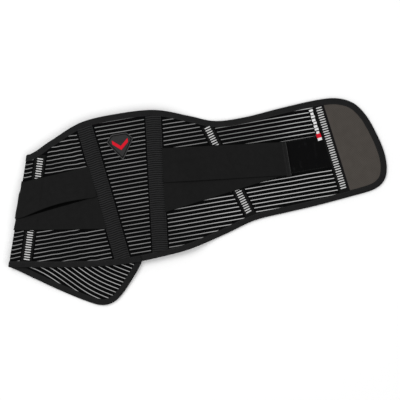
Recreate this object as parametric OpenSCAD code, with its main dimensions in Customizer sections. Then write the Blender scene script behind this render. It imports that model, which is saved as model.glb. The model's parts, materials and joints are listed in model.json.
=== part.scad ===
// A lumbar support belt that lies on a table with its outer face up and its left wing
// folded under the back. Millimetres. +X runs along the belt to its right end, +Y runs
// up the back and +Z is up. The origin is on the table under the middle of the belt's box.
//
// Positions on the belt are given on the belt laid out flat, from the middle of the back,
// and heights are counted from the belt's inner face. fold_under() then turns the left
// wing under, and laid() lets the right side come down to the table.

/* [Belt] */
// From the middle of the back to the end of the right wing
right_reach = 412; // [390:1:435]
// Height of the back at its middle
back_height = 242; // [230:1:255]
// Thickness of the elastic panels
panel_t = 3; // [2.6:0.1:3.4]
// Width of the binding round the edge
binding_w = 10; // [8:0.5:12]
// How far the binding stands above the panels
binding_rise = 0.4; // [0.3:0.1:0.8]
// Clear space between the two layers of the fold
fold_gap = 1.5; // [1.4:0.1:3]

/* [Back] */
// Width of each stay channel's webbing
channel_w = 25; // [22:0.5:28]
// Length of each stay
stay_length = 190; // [170:1:196]
// Width of each stay
stay_w = 12; // [10:0.5:13]
// Thickness of each stay
stay_t = 1.2; // [1:0.1:1.4]
// Thickness of the foam in the lumbar pad
pad_t = 3; // [2:0.1:3.2]
// Thickness of the inner lining
lining_t = 0.8; // [0.6:0.1:1]
// Width of the ladder-stitched seam tapes
tape_w = 17; // [14:0.5:18]

/* [Straps] */
// Thickness of each elastic strap
strap_t = 1.1; // [0.9:0.05:1.2]
// Width of the tape folded over the straps' end
end_w = 8; // [6:0.5:10]
// Length of the hook tab under the straps' end
hook_tab_length = 44; // [36:1:44]
// Thickness of the hook and loop patches
patch_t = 0.8; // [0.6:0.05:0.8]

/* [Hidden] */

// Every position below is for a belt of these two sizes, and at() scales it.
nominal_reach = 412;
nominal_height = 242;
function at(x, y) = [x * right_reach / nominal_reach, y * back_height / nominal_height];
function at_each(points) = [for (p = points) at(p[0], p[1])];

far = 900;              // longer than the belt
cut = 0.3;              // half of the gap between two bodies along a fold
curve_steps = 3;        // straight steps between two knots of the outline
corner_steps = 5;       // straight steps round a rounded corner

// Knots of the outline, clockwise from the top of the back's middle
right_knots = at_each([
    [0, 122], [60, 118], [112, 100], [152, 85], [200, 83], [262, 88], [320, 91],
    [352, 88], [376, 76], [392, 54], [403, 25], [411, -8], [411, -36], [403, -55],
    [384, -66], [344, -71], [290, -76], [240, -79], [188, -83], [137, -97],
    [80, -110.5], [28, -115.5],
]);
left_knots = at_each([
    [-25, -117], [-80, -112.5], [-135, -104.5], [-180, -96.5], [-215, -91],
    [-256, -88.5], [-300, -86], [-340, -82], [-367, -76.5], [-382, -65], [-389.5, -47],
    [-393, -15], [-393, 18], [-384, 53], [-368, 77], [-343, 88.5], [-314, 91],
    [-262, 88], [-200, 83], [-152, 81], [-112, 97.5], [-60, 118],
]);
knots = concat(right_knots, left_knots);

// Lines across the flat belt. Each has the belt's middle on its right hand.
right_channel = at_each([[55, 105], [31, -105]]);
left_channel = at_each([[-31, -105], [-55, 105]]);
right_seam = at_each([[136, 84], [184, -78]]);
left_seam = at_each([[-181, -80], [-133, 74]]);
right_hinge = moved_out(right_seam, tape_w / 2 + 1);
left_fold = at_each([[-210, -88], [-152, 81]]);
end_seam = at_each([[319, 84], [338, -59]]);
peel_offset = 16;
right_peel = moved_out(right_hinge, peel_offset);
left_peel = moved_out(left_fold, peel_offset);

function direction(line) = (line[1] - line[0]) / norm(line[1] - line[0]);
function outward(line) = [-direction(line)[1], direction(line)[0]];
function moved_out(line, s) = [for (p = line) p + s * outward(line)];

// The outline: a Catmull-Rom curve through the knots, moved inwards by inset
function knot(i) = knots[(i + len(knots)) % len(knots)];
function curve_point(i, t) =
    let (a = knot(i - 1), b = knot(i), c = knot(i + 1), d = knot(i + 2))
    b + t * (c - a) / 2 + t * t * (2 * a - 5 * b + 4 * c - d) / 2
    + t * t * t * (3 * b - a - 3 * c + d) / 2;
edge = [
    for (i = [0 : len(knots) - 1], k = [0 : curve_steps - 1]) curve_point(i, k / curve_steps)
];
function edge_point(i) = edge[(i + len(edge)) % len(edge)];
function inset_point(i, inset) =
    edge_point(i) - inset * outward([edge_point(i - 1), edge_point(i + 1)]);
function inset_edge(inset) = [for (i = [0 : len(edge) - 1]) inset_point(i, inset)];

// A polygon's corners rounded to radius r
function unit(v) = v / norm(v);
function rounded(points, r) = [
    for (i = [0 : len(points) - 1])
        let (
            p = points[i],
            a = unit(points[(i + len(points) - 1) % len(points)] - p),
            b = unit(points[(i + 1) % len(points)] - p),
            half = acos(a * b) / 2,
            middle = p + unit(a + b) * r / sin(half),
            from = p + a * r / tan(half) - middle,
            to = p + b * r / tan(half) - middle
        )
        for (k = [0 : corner_steps])
            middle + r * unit(from * (1 - k / corner_steps) + to * k / corner_steps)
];

// Heights above the inner face
margin_low = 0.7;                           // the panel's pressed edge inside the binding
margin_high = panel_t - margin_low;
back_top = lining_t + pad_t + 1.2;          // outer face over the lumbar pad
channel_high = panel_t + 2.8;
stay_middle = panel_t + 1.4;
tape_high = panel_t + 0.7;
seam_relief = 0.3;                          // a seam allowance is this much thinner
patch_high = panel_t + patch_t;
strap_low = panel_t + 0.8;                  // where a strap lies on the belt
tab_low = panel_t + 1;                      // the hook tab's underside
strap_rise = tab_low + patch_t - strap_low; // how far a strap climbs onto its tab
stack = tab_low + patch_t + 2 * strap_t + 0.3;

// Heights above the table
back_base = stack + fold_gap;               // the back's inner face over the folded wing
fold_axis_z = back_base - fold_gap / 2;
drop_from = at(70, 0)[0];                   // the right side comes down between these
drop_to = at(128, 0)[0];
drop_steps = 8;
function base(x) =
    x <= drop_from ? back_base
    : x >= drop_to ? 0
    : back_base * (1 + cos(180 * (x - drop_from) / (drop_to - drop_from))) / 2;
base_stations = concat(
    [-far],
    [for (k = [0 : drop_steps]) drop_from + (drop_to - drop_from) * k / drop_steps],
    [far]
);

// The straps climb onto their tabs between these distances from the middle
climb_from = at(190, 0)[0];
climb_to = at(206, 0)[0];
strap_end_x = at(257, 0)[0];
tab_outer_x = strap_end_x - end_w + 1;
tab_inner_x = tab_outer_x - hook_tab_length;

right_upper = at_each([[50, 57.5], [257, 33.5], [257, -21.5], [50, 1]]);
right_lower = at_each([[45, 9], [257, 33], [257, -18], [45, -47]]);
left_upper = at_each([[-48, 47.5], [-48, -3], [-257, -25], [-257, 34]]);
left_lower = at_each([[-44, -2], [-44, -57.5], [-257, -25], [-257, 29]]);

// The belt's box: the folded wing is the mirror image of the flat one over the fold
function folded_point(p) =
    p - 2 * ((p - left_fold[0]) * outward(left_fold)) * outward(left_fold);
function out_of_fold(p, s) = (p - left_fold[0]) * outward(left_fold) - s;
// Where the outline crosses the line at distance s outward from the fold
function crossings(s) = [
    for (i = [0 : len(edge) - 1])
        let (a = out_of_fold(edge_point(i), s), b = out_of_fold(edge_point(i + 1), s))
        if (a * b < 0) edge_point(i) + (edge_point(i + 1) - edge_point(i)) * a / (a - b)
];
laid_edge = concat(
    [for (p = edge) if (out_of_fold(p, -cut) < 0) p],
    crossings(-cut),
    [for (p = edge) if (out_of_fold(p, cut) > 0) folded_point(p)],
    [for (p = crossings(cut)) folded_point(p)]
);
laid_x = [for (p = laid_edge) p[0]];
laid_y = [for (p = laid_edge) p[1]];
centre = [(max(laid_x) + min(laid_x)) / 2, (max(laid_y) + min(laid_y)) / 2];

// Regions of the flat belt
module inside_edge(inset) {
    polygon(inset_edge(inset));
}

// Between two distances outward from a line
module band(line, from, to) {
    translate(line[0])
        rotate(atan2(direction(line)[1], direction(line)[0]))
            translate([-far, from])
                square([2 * far, to - from]);
}

module upper_half() {
    translate([-far, 0])
        square([2 * far, far]);
}

module back_region() {
    intersection() {
        band(right_hinge, -far, -cut);
        band(left_fold, -far, -cut);
    }
}

module between_channels(s) {
    intersection() {
        band(right_channel, -far, s);
        band(left_channel, -far, s);
    }
}

// Solids
module plate(bottom, top) {
    translate([0, 0, bottom])
        linear_extrude(height = top - bottom)
            children();
}

// A layer that follows the belt down from the folded wing to the table
module laid(bottom, top) {
    profile = concat(
        [for (x = base_stations) [x, base(x) + bottom]],
        [for (k = [len(base_stations) - 1 : -1 : 0])
            [base_stations[k], base(base_stations[k]) + top]]
    );
    intersection() {
        rotate([90, 0, 0])
            linear_extrude(height = far, center = true)
                polygon(profile);
        plate(-1, back_base + stack)
            children();
    }
}

// A strap's layer on a wing, which climbs onto the hook tab; hand is 1 or -1
module climbing(bottom, top, hand) {
    profile = [
        [0, bottom], [climb_from, bottom], [climb_to, bottom + strap_rise],
        [far, bottom + strap_rise], [far, top + strap_rise],
        [climb_to, top + strap_rise], [climb_from, top], [0, top],
    ];
    intersection() {
        rotate([90, 0, 0])
            linear_extrude(height = far, center = true)
                polygon([for (p = profile) [hand * p[0], p[1]]]);
        plate(-1, 2 * stack)
            children();
    }
}

// Turns the left wing under the back
module fold_under() {
    angle = atan2(direction(left_fold)[1], direction(left_fold)[0]);
    translate([left_fold[0][0], left_fold[0][1], fold_axis_z])
        rotate([0, 0, angle])
            rotate([180, 0, 0])
                rotate([0, 0, -angle])
                    translate([-left_fold[0][0], -left_fold[0][1], back_base - fold_axis_z])
                        children();
}

// Puts the origin under the middle of the belt's box
module centred() {
    translate([-centre[0], -centre[1], 0])
        children();
}

// A laid panel with its pressed edge, over the region given as children
module panel(bottom) {
    laid(bottom, panel_t)
        intersection() {
            inside_edge(binding_w);
            children();
        }
    laid(max(bottom, margin_low), margin_high)
        intersection() {
            inside_edge(1);
            children();
        }
}

// The same on a wing, where the belt lies flat
module wing_panel() {
    plate(0, panel_t)
        intersection() {
            inside_edge(binding_w);
            children();
        }
    plate(margin_low, margin_high)
        intersection() {
            inside_edge(1);
            children();
        }
}

module edge_ring() {
    difference() {
        inside_edge(0);
        inside_edge(binding_w);
    }
}

module back_binding() {
    difference() {
        laid(0, panel_t + binding_rise)
            intersection() {
                edge_ring();
                back_region();
                children();
            }
        laid(margin_low, margin_high)
            inside_edge(1);
    }
}

module wing_binding(line) {
    difference() {
        plate(0, panel_t + binding_rise)
            intersection() {
                edge_ring();
                band(line, cut, far);
            }
        plate(margin_low, margin_high)
            inside_edge(1);
    }
}

module seam_tape_shape(line) {
    intersection() {
        inside_edge(binding_w);
        band(line, -tape_w / 2, tape_w / 2);
    }
}

// The frame of a stay channel: x runs along it from its first end
module along(line) {
    translate([line[0][0], line[0][1], back_base])
        rotate([0, 0, atan2(direction(line)[1], direction(line)[0])])
            children();
}

stay_start = (norm(right_channel[1] - right_channel[0]) - stay_length) / 2;
cap_length = 9;
cap_wall = 0.35;
cap_end = 1.5;

module stay_block(from, to, wall, length_wall) {
    w = stay_w / 2 + wall;
    translate([0, 0, stay_middle - stay_t / 2 - wall])
        linear_extrude(height = stay_t + 2 * wall)
            polygon(rounded([
                [from - length_wall, -w], [to + length_wall, -w],
                [to + length_wall, w], [from - length_wall, w],
            ], 2.5));
}

module stay_channel(line) {
    difference() {
        plate(back_base + panel_t, back_base + channel_high)
            intersection() {
                inside_edge(binding_w);
                band(line, -channel_w / 2, channel_w / 2);
            }
        along(line)
            stay_block(stay_start, stay_start + stay_length, cap_wall + 0.1, cap_end + 0.5);
    }
}

module stay(line) {
    along(line)
        stay_block(stay_start, stay_start + stay_length, 0, 0);
}

// Moulded caps over both ends of a stay
module stay_caps(line) {
    far_end = stay_start + stay_length;
    along(line)
        difference() {
            stay_block(stay_start, far_end, cap_wall, cap_end);
            stay_block(stay_start, far_end, 0, 0);
            translate([stay_start + cap_length, -stay_w, 0])
                cube([stay_length - 2 * cap_length, 2 * stay_w, 2 * channel_high]);
        }
}

pad_shape = rounded(at_each([[-33, 72], [33, 72], [15, -88], [-15, -88]]), 10);

module strap_shape(shape, from_line, from, to_line, to) {
    intersection() {
        polygon(shape);
        band(from_line, from, far);
        band(to_line, -far, to);
    }
}

lower_z = [strap_low, strap_low + strap_t];
upper_z = [strap_low + strap_t, strap_low + 2 * strap_t];

module strap_base(shape, channel, hinge, z) {
    laid(z[0], z[1])
        strap_shape(shape, channel, channel_w / 2, hinge, -cut);
}

module strap_bridge(shape, hinge, peel, z, hand) {
    climbing(z[0], z[1], hand)
        strap_shape(shape, hinge, cut, peel, -cut);
}

module strap_run(shape, peel, z, hand) {
    climbing(z[0], z[1], hand)
        intersection() {
            strap_shape(shape, peel, cut, peel, far);
            translate([hand > 0 ? 0 : 2 - strap_end_x, -far])
                square([strap_end_x - 2, 2 * far]);
        }
}

// A rectangle across the straps between two distances from the middle
module across(hand, from, to, y_low, y_high) {
    polygon([
        [hand * from, y_low], [hand * to, y_low], [hand * to, y_high], [hand * from, y_high],
    ]);
}

module hook_tab(shape, hand) {
    plate(tab_low, tab_low + patch_t)
        intersection() {
            polygon(shape);
            across(hand, tab_inner_x, tab_outer_x, -far, far);
        }
}

// The tape folded over the end of both straps
module strap_end(y_low, y_high, hand) {
    inner = tab_low + patch_t;
    difference() {
        plate(tab_low, inner + 2 * strap_t + 0.3)
            across(hand, tab_outer_x, strap_end_x + 1, y_low, y_high);
        plate(inner, inner + 2 * strap_t)
            across(hand, 0, strap_end_x - 2, -far, far);
    }
}

tab_y = at_each([[0, -22.5], [0, 34]]);
left_tab_y = at_each([[0, -26.5], [0, 34.5]]);

// The back and what is sewn to it
module back_panel() {
    color("#141414")
        centred()
            difference() {
                union() {
                    panel(lining_t)
                        intersection() {
                            between_channels(0);
                            back_region();
                        }
                    plate(back_base + lining_t, back_base + back_top)
                        intersection() {
                            inside_edge(binding_w);
                            between_channels(-channel_w / 2);
                        }
                }
                plate(back_base + lining_t, back_base + lining_t + pad_t)
                    polygon(pad_shape);
            }
}

module back_lining() {
    color("#202022")
        centred()
            plate(back_base, back_base + lining_t)
                intersection() {
                    inside_edge(binding_w);
                    between_channels(0);
                }
}

module lumbar_pad() {
    color("#c9c4b4")
        centred()
            plate(back_base + lining_t, back_base + lining_t + pad_t)
                polygon(pad_shape);
}

module left_side_panel() {
    color("#161616")
        centred()
            panel(0)
                intersection() {
                    band(left_channel, 0, far);
                    band(left_seam, -far, 0);
                }
}

module right_side_panel() {
    color("#161616")
        centred()
            panel(0)
                intersection() {
                    band(right_channel, 0, far);
                    band(right_hinge, -far, -cut);
                }
}

module left_wing_root() {
    color("#181818")
        centred()
            panel(0)
                intersection() {
                    band(left_seam, 0, far);
                    band(left_fold, -far, -cut);
                }
}

module left_stay_channel() {
    color("#242426")
        centred()
            stay_channel(left_channel);
}

module right_stay_channel() {
    color("#242426")
        centred()
            stay_channel(right_channel);
}

module left_stay() {
    color("#b9bcc0")
        centred()
            stay(left_channel);
}

module right_stay() {
    color("#b9bcc0")
        centred()
            stay(right_channel);
}

module left_stay_caps() {
    color("#303032")
        centred()
            stay_caps(left_channel);
}

module right_stay_caps() {
    color("#303032")
        centred()
            stay_caps(right_channel);
}

module back_binding_top() {
    color("#1e1e1e")
        centred()
            back_binding()
                upper_half();
}

module back_binding_bottom() {
    color("#1e1e1e")
        centred()
            back_binding()
                mirror([0, 1, 0])
                    upper_half();
}

module left_seam_tape() {
    color("#8e8e8e")
        centred()
            laid(panel_t, tape_high)
                seam_tape_shape(left_seam);
}

module right_seam_tape() {
    color("#8e8e8e")
        centred()
            laid(panel_t, tape_high)
                seam_tape_shape(right_seam);
}

// A five-sided rubber badge with a chevron let into it
badge = at_each([[-25, 79], [-15.5, 90], [9, 90], [18.5, 79], [-3.2, 47]]);
badge_high = back_top + 2.2;
chevron = at_each([
    [-16, 81], [-3.2, 70], [9.5, 81], [9.5, 74.5], [-3.2, 63.5], [-16, 74.5],
]);
chevron_depth = 0.6;

module badge_plate() {
    color("#4a4a4c")
        centred()
            difference() {
                plate(back_base + back_top, back_base + badge_high)
                    polygon(rounded(badge, 2));
                plate(back_base + badge_high - chevron_depth, back_base + badge_high + 1)
                    polygon(chevron);
            }
}

module badge_inlay() {
    color("#d01f2e")
        centred()
            plate(back_base + badge_high - chevron_depth, back_base + badge_high + 0.1)
                polygon(chevron);
}

module left_upper_strap_base() {
    color("#1b1b1b")
        centred()
            strap_base(left_upper, left_channel, left_fold, upper_z);
}

module left_lower_strap_base() {
    color("#1b1b1b")
        centred()
            strap_base(left_lower, left_channel, left_fold, lower_z);
}

module right_upper_strap_base() {
    color("#1b1b1b")
        centred()
            strap_base(right_upper, right_channel, right_hinge, upper_z);
}

module right_lower_strap_base() {
    color("#1b1b1b")
        centred()
            strap_base(right_lower, right_channel, right_hinge, lower_z);
}

// The right wing and what is sewn to it
module right_wing_panel() {
    color("#161616")
        centred()
            wing_panel()
                intersection() {
                    band(right_hinge, cut, far);
                    band(end_seam, -far, 0);
                }
}

// The loop panel at the right end; its seam allowance lies under the seam tape
module right_end_panel() {
    color("#4b4744")
        centred() {
            wing_panel()
                band(end_seam, tape_w / 2, far);
            plate(0, panel_t - seam_relief)
                intersection() {
                    inside_edge(binding_w);
                    band(end_seam, 0, tape_w / 2);
                }
            plate(margin_low, margin_high)
                intersection() {
                    inside_edge(1);
                    band(end_seam, 0, tape_w / 2);
                }
        }
}

module right_end_tape() {
    color("#8e8e8e")
        centred()
            plate(panel_t, tape_high)
                seam_tape_shape(end_seam);
}

module right_wing_binding() {
    color("#1e1e1e")
        centred()
            wing_binding(right_hinge);
}

label_w = 8.5;
module label_shape(clear) {
    edge_line = moved_out(end_seam, -tape_w / 2 - 1 - label_w / 2);
    intersection() {
        inside_edge(binding_w);
        band(edge_line, -label_w / 2 - clear, label_w / 2 + clear);
        translate([0, at(0, 27)[1] - clear])
            square([far, at(0, 57)[1] + 2 * clear]);
    }
}

module right_landing_patch() {
    color("#0e0e0e")
        centred()
            plate(panel_t, patch_high)
                difference() {
                    intersection() {
                        polygon(at_each([[206, 34], [345, 34.4], [345, -19], [206, -20]]));
                        band(end_seam, -far, -tape_w / 2 - 0.4);
                    }
                    label_shape(0.2);
                }
}

module woven_label() {
    color("#e8e8e8")
        centred()
            plate(panel_t, panel_t + 0.5)
                label_shape(0);
}

module right_upper_strap_bridge() {
    color("#1b1b1b")
        centred()
            strap_bridge(right_upper, right_hinge, right_peel, upper_z, 1);
}

module right_lower_strap_bridge() {
    color("#1b1b1b")
        centred()
            strap_bridge(right_lower, right_hinge, right_peel, lower_z, 1);
}

// The right straps' free end
module right_upper_strap() {
    color("#1b1b1b")
        centred()
            strap_run(right_upper, right_peel, upper_z, 1);
}

module right_lower_strap() {
    color("#1b1b1b")
        centred()
            strap_run(right_lower, right_peel, lower_z, 1);
}

module right_hook_tab() {
    color("#0a0a0a")
        centred()
            hook_tab(right_upper, 1);
}

module right_strap_end() {
    color("#232323")
        centred()
            strap_end(tab_y[0][1], tab_y[1][1], 1);
}

// The left wing and what is sewn to it
module left_wing_panel() {
    color("#161616")
        centred()
            fold_under()
                wing_panel()
                    band(left_fold, cut, far);
}

module left_wing_binding() {
    color("#1e1e1e")
        centred()
            fold_under()
                wing_binding(left_fold);
}

module left_landing_patch() {
    color("#0e0e0e")
        centred()
            fold_under()
                plate(panel_t, patch_high)
                    polygon(at_each([[-206, 34], [-206, -24], [-318, -22], [-318, 34]]));
}

// The hook patch inside the left wing's end, which closes on the right end panel
module closure_hook_patch() {
    color("#0a0a0a")
        centred()
            fold_under()
                plate(-patch_t, 0)
                    polygon(rounded(at_each([[-377, 12], [-340, 12], [-340, 72], [-369, 72]]), 5));
}

module left_upper_strap_bridge() {
    color("#1b1b1b")
        centred()
            fold_under()
                strap_bridge(left_upper, left_fold, left_peel, upper_z, -1);
}

module left_lower_strap_bridge() {
    color("#1b1b1b")
        centred()
            fold_under()
                strap_bridge(left_lower, left_fold, left_peel, lower_z, -1);
}

module left_upper_strap() {
    color("#1b1b1b")
        centred()
            fold_under()
                strap_run(left_upper, left_peel, upper_z, -1);
}

module left_lower_strap() {
    color("#1b1b1b")
        centred()
            fold_under()
                strap_run(left_lower, left_peel, lower_z, -1);
}

module left_hook_tab() {
    color("#0a0a0a")
        centred()
            fold_under()
                hook_tab(left_upper, -1);
}

module left_strap_end() {
    color("#232323")
        centred()
            fold_under()
                strap_end(left_tab_y[0][1], left_tab_y[1][1], -1);
}

back_panel();
back_lining();
lumbar_pad();
left_side_panel();
right_side_panel();
left_wing_root();
left_stay_channel();
right_stay_channel();
left_stay();
right_stay();
left_stay_caps();
right_stay_caps();
back_binding_top();
back_binding_bottom();
left_seam_tape();
right_seam_tape();
badge_plate();
badge_inlay();
left_upper_strap_base();
left_lower_strap_base();
right_upper_strap_base();
right_lower_strap_base();
right_wing_panel();
right_end_panel();
right_end_tape();
right_wing_binding();
right_landing_patch();
woven_label();
right_upper_strap_bridge();
right_lower_strap_bridge();
right_upper_strap();
right_lower_strap();
right_hook_tab();
right_strap_end();
left_wing_panel();
left_wing_binding();
left_landing_patch();
closure_hook_patch();
left_upper_strap_bridge();
left_lower_strap_bridge();
left_upper_strap();
left_lower_strap();
left_hook_tab();
left_strap_end();
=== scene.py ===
"""The looks of a lumbar support belt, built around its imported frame.

Every piece is drawn on the belt laid out flat: u runs along the belt to its right end, v up the back, and
h is the height above the inner face, all in millimetres from the middle of the back. lay() turns such
points into the row frame: it folds the left wing under and lets the right side come down to the table.
"""
import json
import math

import bmesh
import bpy
import numpy as np
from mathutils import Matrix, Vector
from numpy.linalg import norm


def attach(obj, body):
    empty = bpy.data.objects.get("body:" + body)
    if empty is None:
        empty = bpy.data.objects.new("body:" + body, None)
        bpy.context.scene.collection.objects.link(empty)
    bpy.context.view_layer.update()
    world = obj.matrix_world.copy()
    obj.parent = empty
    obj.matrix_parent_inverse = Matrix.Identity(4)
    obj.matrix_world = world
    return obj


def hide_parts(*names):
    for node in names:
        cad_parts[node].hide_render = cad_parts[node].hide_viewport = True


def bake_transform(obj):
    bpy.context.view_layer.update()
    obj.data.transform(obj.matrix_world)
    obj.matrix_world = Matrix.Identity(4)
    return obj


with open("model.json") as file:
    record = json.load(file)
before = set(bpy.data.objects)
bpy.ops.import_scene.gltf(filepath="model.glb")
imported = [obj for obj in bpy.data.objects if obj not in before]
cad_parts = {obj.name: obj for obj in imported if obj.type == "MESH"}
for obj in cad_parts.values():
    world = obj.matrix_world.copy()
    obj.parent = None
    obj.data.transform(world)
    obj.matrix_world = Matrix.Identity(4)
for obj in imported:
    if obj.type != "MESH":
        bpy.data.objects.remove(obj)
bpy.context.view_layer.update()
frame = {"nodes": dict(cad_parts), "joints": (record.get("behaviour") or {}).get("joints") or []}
joints = {j["name"]: j for j in frame["joints"]}
scene = bpy.context.scene

# ---- the flat belt (mm)
PANEL_T = 3.0
BINDING_W = 10.0
GRIPPED = BINDING_W - 0.8       # how far in from the edge the binding presses the panels flat
CHANNEL_W = 25.0
CHANNEL_HALF = CHANNEL_W / 2
CHANNEL_RIB = 3.5               # pitch of the channels' ribs
TAPE_W = 17.0
STRAP_T = 1.1
STRAP_W = 56.0
PATCH_T = 0.8
FOLD_GAP = 1.5                  # between the inner faces at the left fold
BACK_TOP = 5.0                  # the back's outer face, over the lumbar pad
TAB_LOW = PANEL_T + 1           # underside of the hook tabs
STACK = TAB_LOW + PATCH_T + 2 * STRAP_T + 0.3       # top of the straps' ends, the thickest place
BACK_BASE = STACK + FOLD_GAP    # the back's inner face, over the folded wing
STRAP_END_U = 257.0
TAB_OUTER_U = 250.0
TAB_INNER_U = 206.0
PEEL_OFFSET = 16.0              # outward from a wing's crease to where its straps peel

RIGHT_KNOTS = [
    (0, 122), (60, 118), (112, 100), (152, 85), (200, 83), (262, 88), (320, 91), (352, 88), (376, 76),
    (392, 54), (403, 25), (411, -8), (411, -36), (403, -55), (384, -66), (344, -71), (290, -76),
    (240, -79), (188, -83), (137, -97), (80, -110.5), (28, -115.5),
]
LEFT_KNOTS = [
    (-25, -117), (-80, -112.5), (-135, -104.5), (-180, -96.5), (-215, -91), (-256, -88.5), (-300, -86),
    (-340, -82), (-367, -76.5), (-382, -65), (-389.5, -47), (-393, -15), (-393, 18), (-384, 53), (-368, 77),
    (-343, 88.5), (-314, 91), (-262, 88), (-200, 83), (-152, 81), (-112, 97.5), (-60, 118),
]


class Line:
    """A line across the flat belt, from a to b, whose left hand is outward, away from the belt's middle."""

    def __init__(self, a, b):
        self.a, self.b = np.array(a, float), np.array(b, float)
        self.length = float(norm(self.b - self.a))
        self.along = (self.b - self.a) / self.length
        self.out = np.array([-self.along[1], self.along[0]])

    def moved(self, s):
        return Line(self.a + s * self.out, self.b + s * self.out)

    def s(self, uv):
        """How far points lie outward from the line."""
        return (np.asarray(uv)[..., :2] - self.a) @ self.out

    def point(self, t, s):
        """Points t along the line from its start and s outward from it."""
        return self.a + np.asarray(t)[..., None] * self.along + np.asarray(s)[..., None] * self.out

    def meet(self, p, q):
        """Where the line through p and q crosses this one."""
        sp, sq = self.s(p), self.s(q)
        return np.array(p) + (np.array(q) - np.array(p)) * sp / (sp - sq)


RIGHT_CHANNEL = Line((55, 105), (31, -105))
LEFT_CHANNEL = Line((-31, -105), (-55, 105))
RIGHT_SEAM = Line((136, 84), (184, -78))
LEFT_SEAM = Line((-181, -80), (-133, 74))
RIGHT_HINGE = RIGHT_SEAM.moved(TAPE_W / 2 + 1)
LEFT_FOLD = Line((-210, -88), (-152, 81))
END_SEAM = Line((319, 84), (338, -59))

# The origin's place on the flat belt, and the fold's height, from the fold's joint in the frame
fold_at = np.array(joints["left_wing_fold"]["pos_m"]) * 1000
CENTRE = LEFT_FOLD.a - fold_at[:2]
FOLD_Z = float(fold_at[2])
FOLD_HALF = 1.5                 # half of the flat length that turns round the fold
DROP_FROM, DROP_TO = 70.0, 128.0        # where along the belt the right side comes down to the table
TIP_DROOP = 3.3                 # how far the folded wing's free tip sinks towards the table
RIPPLE_H = 0.9
SHARP_EDGE = math.radians(48)


def smooth(t):
    t = np.clip(t, 0, 1)
    return t * t * (3 - 2 * t)


def base(u):
    """Height of the inner face above the table along the belt, with the left side on its folded wing."""
    t = np.clip((np.asarray(u, float) - DROP_FROM) / (DROP_TO - DROP_FROM), 0, 1)
    return BACK_BASE * (1 + np.cos(math.pi * t)) / 2


def ripple(uv):
    """The slow unevenness of cloth that lies on a table, 0 to 1."""
    u, v = uv[:, 0], uv[:, 1]
    wave = np.sin(u / 31 + v / 47) + np.sin(v / 23 - u / 71 + 1.3) + np.sin(u / 17 - v / 29 + 0.6)
    return 0.5 + wave / 6


def lay(flat):
    """Points (u, v, h) of the flat belt in the row frame, in metres."""
    flat = np.atleast_2d(np.asarray(flat, float))
    uv, h = flat[:, :2], flat[:, 2]
    s = LEFT_FOLD.s(uv)
    turn = np.clip((s + FOLD_HALF) / (2 * FOLD_HALF), 0, 1) * math.pi
    radius = FOLD_GAP / 2 + h
    folding = s > -FOLD_HALF
    q = np.where(folding, radius * np.sin(turn) - FOLD_HALF - np.maximum(s - FOLD_HALF, 0), s)
    # the ripple fades out at the fold, and wherever the belt must lie flat on the table
    calm = smooth((-s - 4) / 30) * smooth((300 - uv[:, 0]) / 60)
    z = np.where(folding, FOLD_Z + radius * np.cos(turn), base(uv[:, 0]) + h + RIPPLE_H * calm * ripple(uv))
    xy = uv + (q - s)[:, None] * LEFT_FOLD.out
    under = smooth((s - 2) / 12)
    z = z - under * TIP_DROOP * smooth((-112 - xy[:, 1]) / 50)
    return np.column_stack([xy - CENTRE, z]) / 1000


def at(u, v, h=0.0):
    return Vector(lay([(u, v, h)])[0])


# ---- the outline
def closed_curve(knots, step):
    """A Catmull-Rom curve through the knots, at about one point every step."""
    k = np.array(knots, float)
    points = []
    for i in range(len(k)):
        a, b, c, d = (k[(i + j) % len(k)] for j in (-1, 0, 1, 2))
        n = max(3, int(norm(c - b) / step))
        for t in np.arange(n) / n:
            points.append(b + t * (c - a) / 2 + t * t * (2 * a - 5 * b + 4 * c - d) / 2
                          + t ** 3 * (3 * b - a - 3 * c + d) / 2)
    return np.array(points)


EDGE = closed_curve(RIGHT_KNOTS + LEFT_KNOTS, 1.0)
EDGE_IN = np.roll(EDGE, -1, 0) - np.roll(EDGE, 1, 0)
EDGE_IN = np.column_stack([EDGE_IN[:, 1], -EDGE_IN[:, 0]])
EDGE_IN /= norm(EDGE_IN, axis=1)[:, None]


def outline(inset, every=6):
    return (EDGE + inset * EDGE_IN)[::every]


def edge_distance(uv):
    """How far points lie inside the edge."""
    uv = np.asarray(uv, float)
    out = np.empty(len(uv))
    coarse = EDGE[::3]
    for i in range(0, len(uv), 2000):
        part = uv[i:i + 2000, None] - coarse[None]
        out[i:i + 2000] = np.sqrt((part ** 2).sum(2).min(1))
    return out


# ---- mesh tools
def add_object(name, data):
    o = bpy.data.objects.new(name, data)
    scene.collection.objects.link(o)
    return o


def corner_vertices(mesh):
    """The vertex at each corner of each face."""
    index = np.empty(len(mesh.loops), int)
    mesh.loops.foreach_get("vertex_index", index)
    return index


def set_pattern(mesh, place):
    """Gives every vertex its place (mm) in the cloth's pattern, which the materials read in metres."""
    uv = (np.asarray(place) / 1000)[corner_vertices(mesh)]
    mesh.uv_layers["flat"].data.foreach_set("uv", uv.astype(np.float32).ravel())


def mesh_object(name, flat, faces, smooth_shading=True):
    """A mesh of points (u, v, h) of the flat belt, whose pattern starts as their place (u, v)."""
    mesh = bpy.data.meshes.new(name)
    mesh.from_pydata([tuple(p) for p in lay(flat)], [], [tuple(int(i) for i in f) for f in faces])
    mesh.validate()
    mesh.uv_layers.new(name="flat")
    set_pattern(mesh, np.asarray(flat)[:, :2])
    bm = bmesh.new()
    bm.from_mesh(mesh)
    bmesh.ops.recalc_face_normals(bm, faces=bm.faces)
    bm.to_mesh(mesh)
    bm.free()
    for polygon in mesh.polygons:
        polygon.use_smooth = smooth_shading
    if smooth_shading:
        mesh.set_sharp_from_angle(angle=SHARP_EDGE)
    return add_object(name, mesh)


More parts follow.
